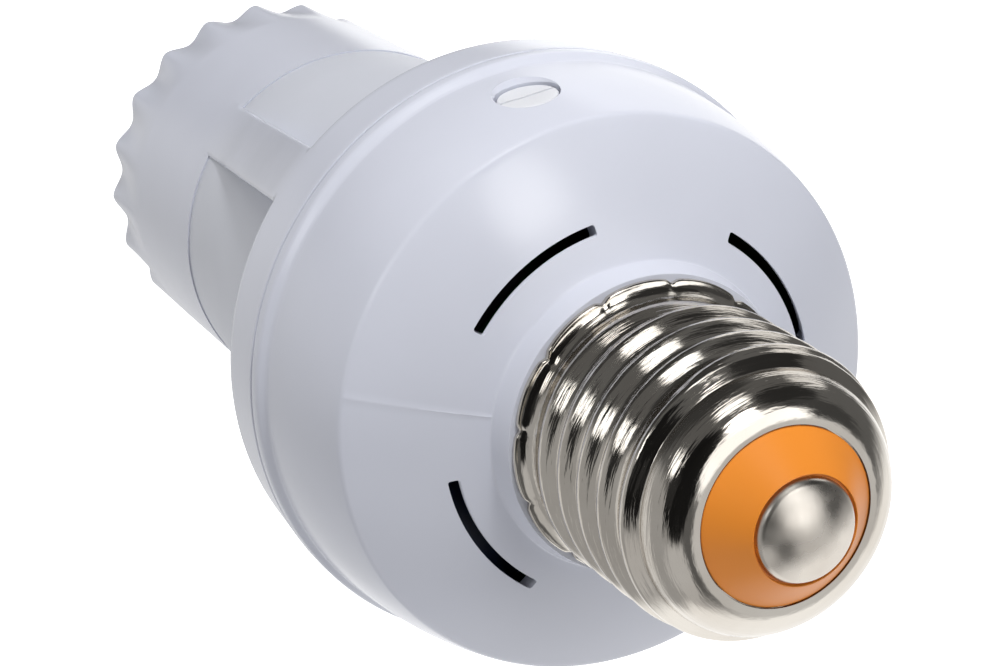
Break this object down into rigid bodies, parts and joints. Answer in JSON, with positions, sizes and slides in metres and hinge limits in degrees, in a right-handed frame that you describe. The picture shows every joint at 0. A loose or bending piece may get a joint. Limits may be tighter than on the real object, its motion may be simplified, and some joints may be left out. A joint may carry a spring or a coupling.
{
  "type": "motion sensor lamp holder",
  "caption": "Screw-in lamp holder with a domed sensor housing, milky conical lens between struts, fluted lamp mouth and threaded metal cap.",
  "frame": {"origin": "centre of the lamp mouth's rim, the lowest plane", "axes": "+Z along the common axis from the lamp mouth up to the screw cap, as it hangs from a ceiling fitting; -Y through the first strut"},
  "size_m": [0.0568, 0.0568, 0.1185],
  "materials": {
    "housing_white": "glossy moulded",
    "knob_white": "satin moulded",
    "lens_milky": "milky translucent",
    "cap_nickel": "polished nickel plate",
    "insulator_orange": "satin moulded",
    "board_green": "solder mask",
    "screw_steel": "zinc plated",
    "relay_blue": "moulded case",
    "film_red": "dipped epoxy",
    "component_black": "moulded epoxy",
    "sleeve_navy": "shrunk sleeve",
    "sensor_clay": "coated disc",
    "trimmer_blue": "moulded case",
    "socket_brass": "drawn sheet",
    "socket_core": "moulded thermoset",
    "spring_bronze": "rolled strip",
    "sensor_can": "drawn can",
    "lead_red": "extruded",
    "lead_black": "extruded"
  },
  "bodies": {
    "housing": {"front_housing": "housing_white", "rear_housing": "housing_white", "sensor_lens": "lens_milky", "cap_shell": "cap_nickel", "cap_contact": "cap_nickel", "cap_insulator": "insulator_orange", "circuit_board": "board_green", "board_screws": "screw_steel", "socket_screws": "screw_steel", "relay": "relay_blue", "film_capacitor": "film_red", "bridge_rectifier": "component_black", "controller_chip": "component_black", "electrolytic_capacitor": "sleeve_navy", "daylight_sensor": "sensor_clay", "trimmer_body": "trimmer_blue", "socket_shell": "socket_brass", "socket_body": "socket_core", "centre_terminal": "socket_brass", "shell_rivet": "socket_brass", "pir_sensor_1": "sensor_can", "pir_sensor_2": "sensor_can", "pir_sensor_3": "sensor_can", "live_lead_in": "lead_red", "live_lead_out": "lead_red", "neutral_lead_in": "lead_black", "neutral_lead_out": "lead_black"},
    "adjuster": {"adjuster_knob": "knob_white"},
    "centre_contact": {"contact_tongue": "spring_bronze"}
  },
  "joints": [
    {"name": "adjuster_turn", "type": "hinge", "parent": "housing", "child": "adjuster", "pos_m": [-0.0176, -0.02068, 0.075], "axis": [-0.6481, -0.7615, 0], "range_deg": [-135, 135]},
    {"name": "tongue_flex", "type": "hinge", "parent": "housing", "child": "centre_contact", "pos_m": [-0.0053, 0, 0.03605], "axis": [0, -1, 0], "range_deg": [0, 10], "stiffness_Nm_per_rad": 0.1}
  ]
}
